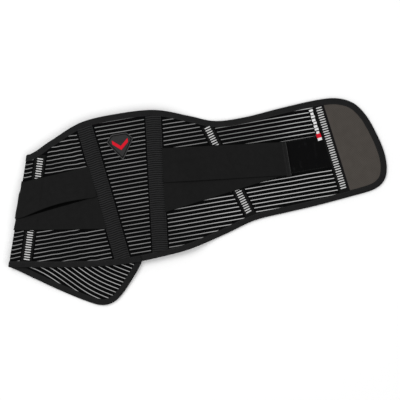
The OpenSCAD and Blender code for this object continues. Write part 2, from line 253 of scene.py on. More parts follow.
def cut_region(polygon, keeps, spacing=7.0, extra=()):
    """The polygon of flat points, kept where each (line, side) of keeps says, cut into a grid of cells."""
    bm = bmesh.new()
    bm.faces.new([bm.verts.new((p[0], p[1], 0)) for p in polygon])

    def bisect(point, normal, clear=False):
        geometry = bm.verts[:] + bm.edges[:] + bm.faces[:]
        bmesh.ops.bisect_plane(bm, geom=geometry, dist=1e-4, plane_co=(point[0], point[1], 0),
                               plane_no=(normal[0], normal[1], 0), clear_outer=clear)

    for line, side in keeps:
        bisect(line.a, line.out * side, True)
    uv = np.array([v.co[:2] for v in bm.verts])
    for axis in (0, 1):
        normal = (1, 0) if axis == 0 else (0, 1)
        low, high = uv[:, axis].min(), uv[:, axis].max()
        for c in np.arange(math.ceil(low / spacing) * spacing, high, spacing):
            bisect((c, 0) if axis == 0 else (0, c), normal)
    for line in extra:
        bisect(line.a, line.out)
    bmesh.ops.remove_doubles(bm, verts=bm.verts, dist=1e-3)
    bmesh.ops.triangulate(bm, faces=[f for f in bm.faces if len(f.verts) > 4])
    bm.verts.index_update()
    uv = np.array([v.co[:2] for v in bm.verts])
    faces = [[v.index for v in f.verts] for f in bm.faces]
    rim = [[v.index for v in e.verts] for e in bm.edges if len(e.link_faces) == 1]
    bm.free()
    return uv, faces, rim


def layered(name, region, low, high):
    """A closed sheet over a cut region, between the heights low(uv) and high(uv)."""
    uv, faces, rim = region
    n = len(uv)
    top = np.column_stack([uv, high(uv)])
    bottom = np.column_stack([uv, low(uv)])
    closed = faces + [[i + n for i in reversed(f)] for f in faces] + [[a, b, b + n, a + n] for a, b in rim]
    return mesh_object(name, np.vstack([top, bottom]), closed)


def grid_solid(name, uv, low, high):
    """A closed sheet over rows and columns of flat points, between the heights low and high of each."""
    rows, columns = uv.shape[:2]
    flat = np.vstack([np.dstack([uv, high]).reshape(-1, 3), np.dstack([uv, low]).reshape(-1, 3)])
    n = rows * columns
    k = np.arange(n).reshape(rows, columns)
    quads = np.stack([k[:-1, :-1], k[1:, :-1], k[1:, 1:], k[:-1, 1:]], -1).reshape(-1, 4)
    rim = np.concatenate([k[0, :], k[1:, -1], k[-1, -2::-1], k[-2:0:-1, 0]])
    sides = [[a, b, b + n, a + n] for a, b in zip(rim, np.roll(rim, -1))]
    faces = quads.tolist() + (quads[:, ::-1] + n).tolist() + sides
    return mesh_object(name, flat, faces)


def ring_faces(count, m, hoop=False):
    """The faces that join rings of m points each in a row, and the last to the first in a hoop."""
    faces = []
    for i in range(count if hoop else count - 1):
        n = (i + 1) % count
        for j in range(m):
            k = (j + 1) % m
            faces.append([i * m + j, i * m + k, n * m + k, n * m + j])
    return faces


def swept(name, path, inward, section):
    """A section of (inset, h) points carried along a path of flat points."""
    m = len(section)
    flat = np.vstack([np.column_stack([np.tile(p, (m, 1)) + np.outer([i for i, _ in section], d),
                                       [h for _, h in section]]) for p, d in zip(path, inward)])
    caps = [list(range(m)), [(len(path) - 1) * m + j for j in reversed(range(m))]]
    return mesh_object(name, flat, ring_faces(len(path), m) + caps)


def threads(name, runs, length, pitch, width, height):
    """Small rounded threads lying on the cloth, one every pitch along runs of flat points (u, v, h)."""
    points, faces = [], []
    across = [(-0.5, 0.0), (-0.3, 0.75), (0.3, 0.75), (0.5, 0.0)]
    along = [(-0.5, 0.15), (-0.36, 0.9), (0.36, 0.9), (0.5, 0.15)]
    for run in runs:
        run = np.asarray(run, float)
        steps = norm(np.diff(run[:, :2], axis=0), axis=1)
        where = np.concatenate([[0], np.cumsum(steps)])
        for x in np.arange(pitch / 2, where[-1] - pitch / 2, pitch):
            middle = np.array([np.interp(x, where, run[:, i]) for i in range(3)])
            ahead = np.array([np.interp(x + 0.5, where, run[:, i]) for i in range(2)])
            d = ahead - middle[:2]
            d /= max(norm(d), 1e-9)
            n = np.array([-d[1], d[0]])
            first = len(points)
            for a, full in along:
                for c, up in across:
                    uv = middle[:2] + d * a * length + n * c * width * full
                    points.append((uv[0], uv[1], middle[2] - 0.12 + height * up * full))
            for i in range(3):
                for j in range(3):
                    k = first + 4 * i + j
                    faces.append((k, k + 4, k + 5, k + 1))
            faces += [tuple(first + j for j in (0, 1, 2, 3)), tuple(first + j for j in (15, 14, 13, 12)),
                      tuple(first + j for j in (0, 4, 8, 12, 15, 11, 7, 3)[::-1])]
    return mesh_object(name, points, faces)


# ---- materials
def grey(x):
    return (x, x, x)


class Cloth:
    """A material's nodes. Patterns are drawn in millimetres on the flat belt."""

    def __init__(self, name, rough, specular, sheen=0.0, sheen_rough=0.5):
        self.material = bpy.data.materials.new(name)
        self.material.use_nodes = True
        self.tree = self.material.node_tree
        self.shader = self.tree.nodes["Principled BSDF"]
        self.shader.inputs["Roughness"].default_value = rough
        self.shader.inputs["Specular IOR Level"].default_value = specular
        if sheen:
            self.shader.inputs["Sheen Weight"].default_value = sheen
            self.shader.inputs["Sheen Roughness"].default_value = sheen_rough
        uv = self.tree.nodes.new("ShaderNodeUVMap")
        uv.uv_map = "flat"
        self.scaled = self.vector("SCALE", uv.outputs[0], scale=1000)
        split = self.tree.nodes.new("ShaderNodeSeparateXYZ")
        self.tree.links.new(self.scaled, split.inputs[0])
        self.u, self.v = split.outputs[0], split.outputs[1]

    def put(self, socket, value):
        if isinstance(value, bpy.types.NodeSocket):
            self.tree.links.new(value, socket)
        elif value is not None:
            socket.default_value = value

    def vector(self, operation, a, b=None, scale=None):
        node = self.tree.nodes.new("ShaderNodeVectorMath")
        node.operation = operation
        self.put(node.inputs[0], a)
        self.put(node.inputs[1], b)
        if scale is not None:
            node.inputs["Scale"].default_value = scale
        return node.outputs[0]

    def math(self, operation, a, b=None, c=None, clamp=False):
        node = self.tree.nodes.new("ShaderNodeMath")
        node.operation, node.use_clamp = operation, clamp
        for socket, value in zip(node.inputs, (a, b, c)):
            self.put(socket, value)
        return node.outputs[0]

    def plus(self, a, b):
        return self.math("ADD", a, b)

    def times(self, a, b, clamp=False):
        return self.math("MULTIPLY", a, b, clamp=clamp)

    def affine(self, a, factor, offset, clamp=False):
        """a times a factor, plus an offset."""
        return self.math("MULTIPLY_ADD", a, factor, offset, clamp)

    def noise(self, size, detail=3.0, stretch=(1, 1, 1)):
        """Noise from 0 to 1, with features of about size millimetres."""
        node = self.tree.nodes.new("ShaderNodeTexNoise")
        node.inputs["Scale"].default_value = 1.0 / size
        node.inputs["Detail"].default_value = detail
        self.put(node.inputs["Vector"], self.vector("MULTIPLY", self.scaled, stretch))
        return node.outputs[0]

    def ridge(self, coordinate, pitch):
        """A wave from 0 to 1 along a coordinate."""
        turned = self.times(coordinate, 2 * math.pi / pitch)
        return self.affine(self.math("SINE", turned), 0.5, 0.5)

    def stripe(self, coordinate, pitch, width, soft=0.25, shift=0.0):
        """1 on stripes of a width, one every pitch, and 0 between them."""
        place = self.math("PINGPONG", self.plus(coordinate, shift), pitch / 2)
        edge = self.math("SUBTRACT", width / 2, place)
        return self.affine(edge, 1 / soft, 0.5, clamp=True)

    def off_line(self, line, half, soft=0.4, ragged=0.0):
        """1 away from a line of the flat belt, and 0 within half millimetres of it."""
        node = self.tree.nodes.new("ShaderNodeVectorMath")
        node.operation = "DOT_PRODUCT"
        self.put(node.inputs[0], self.scaled)
        node.inputs[1].default_value = (float(line.out[0]), float(line.out[1]), 0)
        s = self.math("ABSOLUTE", self.math("SUBTRACT", node.outputs["Value"], float(line.a @ line.out)))
        if ragged:
            s = self.plus(s, self.affine(self.noise(3, 1, (0.3, 1, 1)), 2 * ragged, -ragged))
        return self.times(self.math("SUBTRACT", s, half), 1 / soft, clamp=True)

    def ramp(self, value, low, high):
        node = self.tree.nodes.new("ShaderNodeMapRange")
        node.interpolation_type = "SMOOTHSTEP"
        self.put(node.inputs["Value"], value)
        node.inputs["From Min"].default_value, node.inputs["From Max"].default_value = low, high
        return node.outputs[0]

    def mix(self, factor, a, b):
        node = self.tree.nodes.new("ShaderNodeMix")
        node.data_type = "RGBA"
        self.put(node.inputs[0], factor)
        self.put(node.inputs[6], a if isinstance(a, bpy.types.NodeSocket) else (*a, 1))
        self.put(node.inputs[7], b if isinstance(b, bpy.types.NodeSocket) else (*b, 1))
        return node.outputs[2]

    def colour(self, value):
        self.put(self.shader.inputs["Base Color"], value)

    def rough(self, value):
        self.put(self.shader.inputs["Roughness"], value)

    def bump(self, height, distance, strength=1.0):
        node = self.tree.nodes.new("ShaderNodeBump")
        node.inputs["Distance"].default_value = distance / 1000
        node.inputs["Strength"].default_value = strength
        self.put(node.inputs["Height"], height)
        self.put(self.shader.inputs["Normal"], node.outputs[0])


STRIPE_PITCH = 6.5
STRIPE_W = 1.0
STRIPE_AT = 1.6     # a stripe's middle, up the back from the belt's middle
# stripes end so far from the middles of the channels and tapes, and this raggedly
STRIPES_END = [(RIGHT_CHANNEL, 14.4, 1.2), (LEFT_CHANNEL, 14.8, 1.6), (RIGHT_SEAM, 10.4, 0.5),
               (LEFT_SEAM, 10.4, 0.5), (END_SEAM, 9.9, 0.2)]


def striped_elastic():
    """Black elastic with light stripes along the belt, brighter to the right, at the foot and on the wing."""
    c = Cloth("striped_elastic", 0.85, 0.03)
    wobble = c.affine(c.noise(60, 1), 0.9, -0.45)
    creases = c.affine(c.noise(17, 1, (1, 0.4, 1)), 2.6, -1.3)
    creased = c.times(c.ramp(c.times(c.u, -1), 55, 75),
                     c.ramp(c.u, -170, -120))
    wobble = c.affine(creases, creased, wobble)
    v = c.plus(c.v, wobble)
    line = c.stripe(v, STRIPE_PITCH, STRIPE_W, 0.5, -STRIPE_AT)
    for edge, half, ragged in STRIPES_END:
        line = c.times(line, c.off_line(edge, half, 0.4, ragged))
    knit = c.ridge(c.u, 0.9)
    fleck = c.affine(c.noise(1.1, 2, (0.6, 1, 1)), 0.5, 0.62)
    dark = c.mix(c.noise(9, 3), (0.0006, 0.0006, 0.0007), (0.0026, 0.0026, 0.0028))
    near_end = c.math("MAXIMUM", c.ramp(c.times(c.v, -1), -40, 50), c.ramp(c.u, 215, 290))
    right = c.times(c.ramp(c.u, 20, 190), c.times(near_end, 0.68))
    wing = c.times(c.ramp(c.times(c.u, -1), 190, 280), 0.36)
    patchy = c.affine(c.noise(26, 2, (0.4, 1, 1)), 0.66, 0.03)
    bright = c.plus(c.plus(right, wing), patchy)
    # the stripes' colour: brighter to the right, at the foot and on the wing, with flecks and patches
    pale_band = c.mix(c.times(bright, fleck), grey(0.05), (0.74, 0.74, 0.735))
    c.colour(c.mix(line, dark, c.mix(c.affine(knit, 0.3, 0.6), grey(0.12), pale_band)))
    c.rough(c.affine(line, -0.2, 0.85))
    rib = c.plus(c.times(line, 0.8), c.times(c.ridge(v, 1.3), 0.25))
    c.bump(c.plus(rib, c.times(knit, 0.15)), 0.35, 0.6)
    return c.material


def ribbed_tape(name, dark, light, pitch, across, specular=0.12, depth=0.3):
    """Narrow black webbing or tape with ribs; across says which way they run."""
    c = Cloth(name, 0.7, specular, 0.02)
    rib = c.ridge(c.u if across else c.v, pitch)
    fine = c.ridge(c.v if across else c.u, 0.8)
    # colour: random variation plus painted light and shade on the ribs, paler on their crests and darker between
    # them; depth sets both the bump and how strongly the ribs are painted
    tone_and_rib_shade = c.affine(c.noise(7, 4), 1 - depth, c.times(rib, 0.3 + depth))
    c.colour(c.mix(tone_and_rib_shade, dark, light))
    c.rough(c.affine(c.noise(5), 0.2, 0.6))
    c.bump(c.plus(rib, c.times(fine, 0.4)), depth, 0.7)
    return c.material


def pile(name, dark, light, size, specular, rough=0.85, depth=0.35, patchy=0.0):
    """Loop or hook tape: a short pile that stands in tiny tufts."""
    c = Cloth(name, rough, specular, 0.03)
    tuft = c.noise(size, 2)
    patch = c.noise(16, 3)
    cloth = c.mix(c.affine(patch, 0.6, c.times(tuft, 0.45)), dark, light)
    scuff = c.ramp(c.noise(14, 3, (2.2, 0.8, 1)), 0.56, 0.74)
    c.colour(c.mix(c.times(scuff, patchy), cloth, tuple(2.6 * x for x in light)))
    c.rough(c.affine(patch, -patchy, rough))
    c.bump(tuft, depth, 0.8)
    return c.material


def grey_mesh():
    """Grey loop fabric with a fine grid of pin dots."""
    c = Cloth("grey_loop", 0.9, 0.06, 0.02)
    pitch, diagonal = 2.3, 0.7071
    across, up = c.times(c.u, diagonal), c.times(c.v, diagonal)
    dots = c.times(c.ridge(c.plus(across, up), pitch), c.ridge(c.math("SUBTRACT", across, up), pitch))
    dots = c.affine(c.math("SUBTRACT", dots, 0.55), 4.0, 0.0, clamp=True)
    cloth = c.mix(c.noise(13, 4), (0.050, 0.044, 0.0385), (0.070, 0.062, 0.055))
    c.colour(c.mix(c.times(dots, 0.75), cloth, (0.018, 0.016, 0.014)))
    c.bump(c.math("SUBTRACT", c.times(c.noise(0.9, 2), 0.6), dots), 0.3, 0.8)
    return c.material


def yarn(name, colour, lighter, specular=0.25):
    """Sewing thread: a fine twist along each stitch."""
    c = Cloth(name, 0.55, specular, 0.05)
    twist = c.ridge(c.plus(c.u, c.v), 0.5)
    c.colour(c.mix(c.affine(c.noise(3), 0.5, c.times(twist, 0.4)), colour, lighter))
    c.bump(twist, 0.12, 0.7)
    return c.material


def moulded(name, dark, light, rough=0.45, specular=0.4):
    """Moulded rubber or plastic with a faint grain."""
    c = Cloth(name, rough, specular)
    c.colour(c.mix(c.noise(4, 4), dark, light))
    c.rough(c.affine(c.noise(2.2, 3), 0.22, rough - 0.1))
    c.bump(c.noise(0.6, 3), 0.06, 0.6)
    return c.material


def steel():
    """Spring steel, brushed along the stay."""
    c = Cloth("stay_steel", 0.35, 0.5)
    c.shader.inputs["Metallic"].default_value = 1.0
    c.colour(c.mix(c.noise(6, 4), (0.5, 0.51, 0.53), (0.64, 0.65, 0.67)))
    c.rough(c.affine(c.noise(1.5, 3, (1, 12, 1)), 0.3, 0.22))
    c.bump(c.noise(0.8, 2, (1, 20, 1)), 0.03, 0.5)
    return c.material


def woven_label_cloth():
    """White satin weave, for the plain blocks in place of the label's lettering."""
    c = Cloth("woven_label", 0.5, 0.3, 0.05)
    thread = c.times(c.ridge(c.u, 0.7), c.ridge(c.v, 0.5))
    c.colour(c.mix(c.affine(c.noise(4), 0.5, c.times(thread, 0.4)),
                   grey(0.55), grey(0.86)))
    c.bump(thread, 0.15, 0.6)
    return c.material


def strap_elastic():
    """Plain knitted elastic, darker along its two selvedges."""
    c = Cloth("strap_elastic", 0.7, 0.05, 0.02)
    rib = c.ridge(c.v, 1.0)
    # random variation plus a little painted shading on the fine ribs, paler on their crests
    tone_and_rib_shade = c.affine(c.noise(9, 4), 0.75, c.times(rib, 0.25))
    cloth = c.mix(tone_and_rib_shade, grey(0.0046), grey(0.0086))
    edge = c.math("PINGPONG", c.v, STRAP_W / 2)
    c.colour(c.mix(c.ramp(edge, 0.4, 1.3), grey(0.0012), cloth))
    c.rough(c.affine(c.noise(5), 0.2, 0.6))
    c.bump(c.plus(rib, c.times(c.ridge(c.u, 0.8), 0.4)), 0.07, 0.6)
    return c.material


M = {
    "stripes": striped_elastic(),
    "binding": ribbed_tape("binding_tape", (0.0045, 0.0045, 0.0047), (0.012, 0.012, 0.0122), 1.3, True, 0.06),
    # the channels' ribs carry strong painted light and shade
    "channel": ribbed_tape("channel_webbing", (0.0002, 0.0002, 0.0003), (0.021, 0.021, 0.0215),
                           CHANNEL_RIB, False, 0.05, 0.6),
    "tape": ribbed_tape("seam_tape", grey(0.0025), grey(0.006), 1.1, False, 0.05),
    "strap": strap_elastic(),
    # painted shade: near-black elastic for the strip under the left upper strap's free edge
    "tuck": ribbed_tape("painted_shade_elastic", grey(0.0004), grey(0.0012), 1.0, False, 0.02),
    "hem": ribbed_tape("hem_tape", grey(0.0046), grey(0.0095), 1.0, False, 0.06, 0.15),
    "grey": grey_mesh(),
    "loop": pile("black_loop", (0.0004, 0.0004, 0.0005), (0.003, 0.003, 0.0031), 1.3, 0.025, 0.6, 0.2, 0.5),
    "hook": pile("hook_tape", grey(0.002), (0.007, 0.007, 0.0075), 1.0, 0.15, 0.5),
    "lining": pile("lining_cloth", (0.009, 0.009, 0.01), (0.017, 0.017, 0.018), 2.2, 0.06),
    "white_thread": yarn("white_thread", grey(0.34), (0.70, 0.70, 0.69)),
    "black_thread": yarn("black_thread", grey(0.010), grey(0.028), 0.12),
    # painted shade: near-black for the floor of the badge's groove, inside its rim
    "groove": moulded("badge_groove_shade", grey(0.0012), grey(0.003), 0.7, 0.05),
    # painted highlight: a pale thread colour for the strip along the strap tapes' folded ends
    "edge_highlight": yarn("edge_highlight", grey(0.028), grey(0.065), 0.12),
    "rubber": moulded("badge_rubber", (0.012, 0.012, 0.0122), (0.021, 0.021, 0.0212), 0.5, 0.15),
    # painted light: the rim is a paler version of the badge's rubber, lighter where it stands up
    "rim": moulded("badge_rim_lit", (0.02, 0.02, 0.0202), (0.034, 0.034, 0.0345), 0.45, 0.25),
    "red": moulded("badge_red", (0.44, 0.003, 0.012), (0.60, 0.006, 0.022), 0.5, 0.08),
    "label": woven_label_cloth(),
    "foam": pile("pad_foam", (0.55, 0.53, 0.45), (0.74, 0.72, 0.64), 1.8, 0.1, 0.95),
    "cap": moulded("stay_cap", (0.02, 0.02, 0.021), (0.035, 0.035, 0.036)),
    "steel": steel(),
}


def finish_piece(o, material, rides=None, nodes=()):
    """Gives a piece its material and hides the CAD nodes it stands for. It rides a body, or the function given
    as rides is called on it.
    """
    o.data.materials.clear()
    o.data.materials.append(M[material])
    if nodes:
        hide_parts(*nodes)
    if callable(rides):
        rides(o)
    elif rides:
        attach(o, rides)
    return o


def stitches(name, runs, pitch, height, rides, length=2.0, width=0.5):
    """Rows of black stitches."""
    finish_piece(threads(name, runs, length, pitch, width, height), "black_thread", rides)


# ---- baking a piece's placement into its mesh
def across_left_fold(o):
    """Bakes the piece's placement into its mesh."""
    p = at(*LEFT_FOLD.a)
    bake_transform(o)


def between(o, line, s_from, s_to):
    """Bakes the piece's placement into its mesh. The points s_from and s_to outward from the line are worked
    out, and nothing uses them.
    """
    start, end = (line.a + s * line.out for s in (s_from, s_to))
    start, end = (np.array(at(p[0], p[1], 0)) for p in (start, end))
    end[2] = start[2]
    tuple(start)
    tuple(end)
    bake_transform(o)


HINGE_HALF = 5.0


def across_right_hinge(o):
    """Bakes the piece's placement into its mesh."""
    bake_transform(o)


# ---- panels
FOLD_CUTS = [LEFT_FOLD.moved(s) for s in np.linspace(-FOLD_HALF, FOLD_HALF, 13)]
HINGE_CUTS = [RIGHT_HINGE.moved(s) for s in np.linspace(-HINGE_HALF, HINGE_HALF, 9)]


def pinched(top):
    """The panel's outer face at height top, pressed flat where the binding holds it."""
    def high(uv):
        return np.where(edge_distance(uv) < GRIPPED, PANEL_T - 0.85, top)
    return high


def panel_low(uv):
    return np.where(edge_distance(uv) < GRIPPED, 0.75, 0.12)


def flat_area(region):
    """A cut region's area in square metres."""
    uv, faces, _ = region
    total = 0.0
    for f in faces:
        p = uv[f]
        total += abs(np.dot(p[:, 0], np.roll(p[:, 1], -1)) - np.dot(p[:, 1], np.roll(p[:, 0], -1))) / 2
    return total / 1e6


def declare_sheet(region):
    flat_area(region)


def warp_stripes(o):
    """Stripes sag a little at the fold, and run in a slow S on the wing's inner face."""
    inner = corner_vertices(o.data) >= len(o.data.vertices) // 2      # the sheet's lower half
    layer = o.data.uv_layers["flat"].data
    uv = np.empty(len(layer) * 2, np.float32)
    layer.foreach_get("uv", uv)
    uv = uv.reshape(-1, 2)
    mm = uv.astype(float) * 1000
    s = LEFT_FOLD.s(mm)
    sag = 1.5 * smooth((s + 34) / 34) ** 2
    swing = -3.8 * smooth((s - 8) / 30) * np.sin(2 * math.pi * (-mm[:, 0] - 222) / 165)
    uv[:, 1] += ((sag + swing * inner) / 1000).astype(np.float32)
    layer.foreach_set("uv", uv.ravel())


field = outline(2.0)
left_region = cut_region(field, [(LEFT_CHANNEL, -1)], 6.0, FOLD_CUTS)
left_fabric = layered("left_panel", left_region, panel_low, pinched(PANEL_T - 0.12))
warp_stripes(left_fabric)
finish_piece(left_fabric, "stripes", across_left_fold,
             ["left_side_panel", "left_wing_root", "left_wing_panel"])
declare_sheet(left_region)

right_region = cut_region(field, [(RIGHT_CHANNEL, -1), (END_SEAM, 1)], 6.0, HINGE_CUTS)
right_fabric = layered("right_panel", right_region, panel_low, pinched(PANEL_T - 0.12))
finish_piece(right_fabric, "stripes", across_right_hinge,
             ["right_side_panel", "right_wing_panel"])
declare_sheet(right_region)

end_region = cut_region(field, [(END_SEAM, -1)], 6.0)
grey_end = layered("right_end_loop", end_region, panel_low, pinched(PANEL_T))
finish_piece(grey_end, "grey", "right_wing", ["right_end_panel"])
declare_sheet(end_region)


def back_high(uv):
    """The back's outer face swells over the lumbar pad between the two channels."""
    inward = np.minimum(-RIGHT_CHANNEL.s(uv), -LEFT_CHANNEL.s(uv)) - CHANNEL_HALF
    d = edge_distance(uv)
    swell = smooth(inward / 13) * smooth((d - 10) / 16)
    return np.where(d < GRIPPED, PANEL_T - 0.85, PANEL_T - 0.12 + (BACK_TOP - PANEL_T) * swell)


back_region = cut_region(field, [(RIGHT_CHANNEL, 1), (LEFT_CHANNEL, 1)], 5.0)
back_fabric = layered("back_panel_cloth", back_region, lambda uv: np.maximum(back_high(uv) - 1.2, 0.88),
                      back_high)
finish_piece(back_fabric, "stripes", "back", ["back_panel"])

lining_region = cut_region(outline(BINDING_W - 1), [(RIGHT_CHANNEL, 1), (LEFT_CHANNEL, 1)], 6.0)
lining = layered("inner_lining", lining_region, lambda uv: np.full(len(uv), 0.05),
                 lambda uv: np.full(len(uv), 0.8))
finish_piece(lining, "lining", "back", ["back_lining"])
declare_sheet(lining_region)

# ---- binding
BINDING_SECTION = [
    (9.9, 2.7), (9.8, 3.3), (9.0, 3.62), (6.5, 3.72), (3.5, 3.72), (1.6, 3.5), (0.5, 2.9), (0.0, 2.0),
    (0.0, 1.2), (0.5, 0.4), (1.6, 0.05), (5.0, 0.0), (9.3, 0.0), (9.9, 0.3),
]


def binding_path(side):
    """The edge's points on one side of the back's middle, close together at the fold and hinge."""
    first = EDGE[:, 0] * side > 0
    start = int(np.argmax(first & ~np.roll(first, 1))) - 2
    order = (start + np.arange(int(first.sum()) + 4)) % len(EDGE)
    near = (np.abs(LEFT_FOLD.s(EDGE)) < 14) | (np.abs(RIGHT_HINGE.s(EDGE)) < 9)
    return [i for k, i in enumerate(order) if near[i] or k % 3 == 0 or k == len(order) - 1]


def binding(name, side, rides, nodes):
    """The tape folded over the edge on one side. Its pattern runs along the edge."""
    keep = binding_path(side)
    o = swept(name, EDGE[keep], EDGE_IN[keep], BINDING_SECTION)
    run = np.concatenate([[0], np.cumsum(norm(np.diff(EDGE[keep], axis=0), axis=1))])
    set_pattern(o.data, np.column_stack([np.repeat(run, len(BINDING_SECTION)),
                                         np.tile([i + h for i, h in BINDING_SECTION], len(keep))]))
    finish_piece(o, "binding", rides, nodes)


def edge_stitches(name, side, rides):
    keep = binding_path(side)
    p = EDGE[keep] + 8.3 * EDGE_IN[keep]
    run = np.column_stack([p, np.full(len(p), 3.62)])
    stitches(name, [run], 3.2, 0.4, rides, 2.2)


binding("right_binding", 1, across_right_hinge, ["right_wing_binding", "back_binding_top"])
binding("left_binding", -1, across_left_fold, ["left_wing_binding", "back_binding_bottom"])
edge_stitches("right_binding_stitches", 1, across_right_hinge)
edge_stitches("left_binding_stitches", -1, across_left_fold)

# ---- stay channels
def edge_hits(line, offset):
    """Where a line, moved outward by offset, leaves the belt: distances along it inside the binding."""
    t = np.arange(-40, line.length + 40, 0.5)
    points = line.a + offset * line.out + t[:, None] * line.along
    inside = edge_distance(points) > BINDING_W - 1.5
    good = inside & (np.abs(points[:, 1]) < 118)
    low = high = len(t) // 2
    while low > 0 and good[low - 1]:
        low -= 1
    while high < len(t) - 1 and good[high + 1]:
        high += 1
    return t[low], t[high]


def channel(name, line, node, phase):
    """Ribbed webbing over a stay. The ribs waver by phase, and its pattern follows them."""
    half = CHANNEL_HALF
    low_t, high_t = zip(*(edge_hits(line, y) for y in (-half, 0, half)))
    ys = np.concatenate([[-half], np.linspace(0.3 - half, half - 0.3, 21), [half]])
    start, stop = (np.interp(ys, (-half, 0, half), t) for t in (low_t, high_t))
    rows = int((max(high_t) - min(low_t)) / 0.6)
    x = start + (stop - start) * np.linspace(0, 1, rows)[:, None]
    y = np.broadcast_to(ys, x.shape)
    uv = line.point(x, y)
    arch = smooth((11.2 - np.abs(y)) / 4.2)
    waver = 0.8 * np.sin(y / 4 + phase)
    rib = np.sin(2 * math.pi * x / CHANNEL_RIB + waver)
    tuck = smooth((x - start + 1) / 7) * smooth((stop - x + 1) / 7)
    high = PANEL_T + 0.55 + 2.2 * arch * (0.35 + 0.65 * tuck) + 0.34 * rib
    high = np.where(np.abs(y) > half - 0.2, PANEL_T + 0.2, high)
    low = np.where(np.abs(y) > half - 1, PANEL_T - 0.1, np.maximum(high - 0.5, PANEL_T - 0.1))
    o = grid_solid(name, uv, low, high)
    along_ribs = x + CHANNEL_RIB * waver / (2 * math.pi)
    set_pattern(o.data, np.tile(np.column_stack([y.ravel(), along_ribs.ravel()]), (2, 1)))
    finish_piece(o, "channel", "back", [node])
    t = np.linspace(max(low_t) + 2, min(high_t) - 2, 80)
    runs = [np.column_stack([line.point(t, s), np.full(80, PANEL_T + 0.6)]) for s in (-11.6, 11.6)]
    stitches(name + "_stitches", runs, 3.4, 0.5, "back", width=0.55)


channel("left_channel_webbing", LEFT_CHANNEL, "left_stay_channel", 0.0)
channel("right_channel_webbing", RIGHT_CHANNEL, "right_stay_channel", 1.7)

# ---- ladder-stitched seam tapes
def ladder(name, line, node, rides):
    """A tape over a seam, with a ladder of white bars stitched across it."""
    low_t, high_t = edge_hits(line, 0)
    along = np.linspace(low_t + 0.5, high_t - 0.5, 120)
    x, y = np.meshgrid(along, [-8.5, -8.2, -5.5, -5.0, 0, 5.0, 5.5, 8.2, 8.5], indexing="ij")
    high = np.where(np.abs(y) > 8.3, PANEL_T + 0.1, PANEL_T + 0.5)
    tape = grid_solid(name, line.point(x, y), np.full(x.shape, PANEL_T - 0.15), high)
    finish_piece(tape, "tape", rides, [node])
    rungs = []
    margin, bar_pitch = 4.0, 3.95
    for k, t in enumerate(np.arange(low_t + margin, high_t - margin, bar_pitch)):
        middle = line.a + t * line.along
        reach = 4.75 + 0.2 * math.sin(k * 2.1)
        lean = 0.1 * math.sin(k * 1.3)
        a = np.append(middle - reach * line.out - lean * line.along, PANEL_T + 0.5)
        b = np.append(middle + reach * line.out + lean * line.along, PANEL_T + 0.5)
        rungs.append([a, b])
    bars = threads(name + "_bars", rungs, 10.6, 8.8, 2.35, 0.45)
    finish_piece(bars, "white_thread", rides)


ladder("left_seam_ladder", LEFT_SEAM, "left_seam_tape", "back")
ladder("right_seam_ladder", RIGHT_SEAM, "right_seam_tape", across_right_hinge)
ladder("right_end_ladder", END_SEAM, "right_end_tape", "right_wing")

# ---- straps
# Each strap's upper and lower edge on the flat belt, from the channel to its end
STRAPS = {
    "right_upper": ((50, 57.5), (257, 33.5), (50, 1), (257, -21.5)),
    "right_lower": ((45, 9), (257, 33), (45, -47), (257, -18)),
    "left_upper": ((-48, 47.5), (-257, 34), (-48, -3), (-257, -25)),
    "left_lower": ((-44, -2), (-257, 29), (-44, -57.5), (-257, -25)),
}


def strap_heights(which, uv, b):
    """The underside of a strap, at b (0 to 1) from its upper edge to its lower one. It lies on the belt, crosses
    the seam tape and climbs onto the hook tab. An upper strap also lies on the lower one."""
    u = np.abs(uv[..., 0])
    seam = RIGHT_SEAM if which.startswith("right") else LEFT_SEAM
    over_seam = smooth((12 - np.abs(seam.s(uv))) / 5)
    climb = smooth((u - 188) / 18)
    low = PANEL_T + 0.12 + 0.85 * over_seam + (1.65 - 0.85 * over_seam) * climb
    if which.endswith("upper"):
        reach = np.clip((u - 55) / 190, 0, 1)
        covered = 0.17 + 0.83 * reach
        low = low + (STRAP_T + 0.05) * smooth((b - (1 - covered) + 0.10) / 0.14)
        root = smooth((u - 60) / 25) * smooth((190 - u) / 45)
        lift = 4.2 if which.startswith("left") else 1.3
        low = low + lift * root * smooth((b - 0.6) / 0.4)
    slack = smooth((u - 62) / 25) * smooth((186 - u) / 30)
    return low + 0.3 * slack * (1 + np.sin(uv[..., 0] / 15 + uv[..., 1] / 9 + np.sin(uv[..., 1] / 21)))


def strap_piece(name, which, first, last, nodes=()):
    """The stretch of a strap between two lines of the flat belt. Its weave follows its own edges."""
    top_a, top_b, bottom_a, bottom_b = (np.array(p, float) for p in STRAPS[which])
    corners = [line.meet(p, q) for line in (first, last) for p, q in ((top_a, top_b), (bottom_a, bottom_b))]
    step = 0.7 if which.startswith("left") else 1.6       # finer on the side that turns round the fold
    rows = max(6, int(norm(corners[2] - corners[0]) / step))
    a = np.linspace(0, 1, rows)[:, None, None]
    b = np.concatenate([[0.0, 0.012], np.linspace(0.03, 0.97, 18), [0.988, 1.0]])[None, :, None]
    uv = (corners[0] * (1 - a) + corners[2] * a) * (1 - b) + (corners[1] * (1 - a) + corners[3] * a) * b
    if which == "left_upper":
        # the free edge bows up between its two ends
        bow = 5.2 * np.sin(np.clip((-uv[..., 0] - 62) / 112, 0, 1) * math.pi)
        uv[..., 1] += bow * smooth((b[..., 0] - 0.55) / 0.45)
    spread = np.broadcast_to(b[..., 0], uv.shape[:2])
    low = strap_heights(which, uv, spread)
    thin = np.where(np.minimum(spread, 1 - spread) < 0.006, 0.35, 0.0)
    ribbing = 0.05 * np.sin(uv[..., 0] / 3.1)
    o = grid_solid(name, uv, low + thin, low + STRAP_T - thin + ribbing)
    set_pattern(o.data, np.tile(np.dstack([uv[..., 0], spread * STRAP_W]).reshape(-1, 2), (2, 1)))
    return finish_piece(o, "strap", None, nodes)


